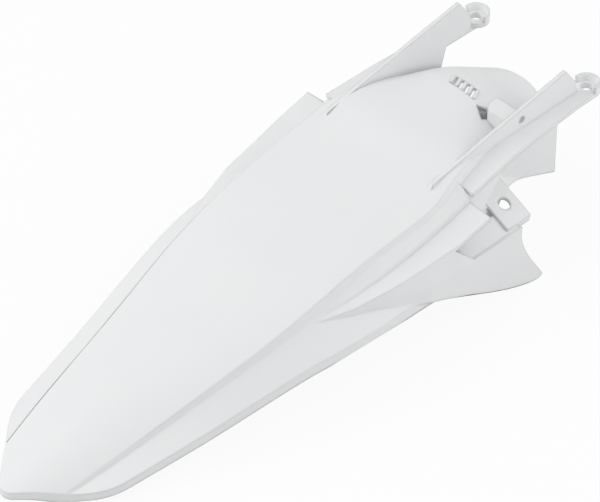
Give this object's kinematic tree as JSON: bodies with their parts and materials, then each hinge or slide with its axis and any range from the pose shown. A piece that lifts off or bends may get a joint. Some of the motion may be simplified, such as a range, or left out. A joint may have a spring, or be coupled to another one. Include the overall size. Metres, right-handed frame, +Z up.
{
  "type": "motorcycle rear fender",
  "caption": "Long pointed rear fender for an off-road motorcycle, moulded in white plastic, with stepped side panels, bolt tabs and front arms that end in bolt eyes.",
  "frame": {"origin": "midway between the two arm eye holes, on the upper face of the arms", "axes": "+X forward along the arms, +Y to the left, +Z up; the tail points along -X and slopes down"},
  "size_m": [0.7139, 0.2692, 0.1827],
  "materials": {
    "white_plastic": "satin moulded"
  },
  "bodies": {
    "root": {"rear_fender": "white_plastic"}
  },
  "joints": []
}
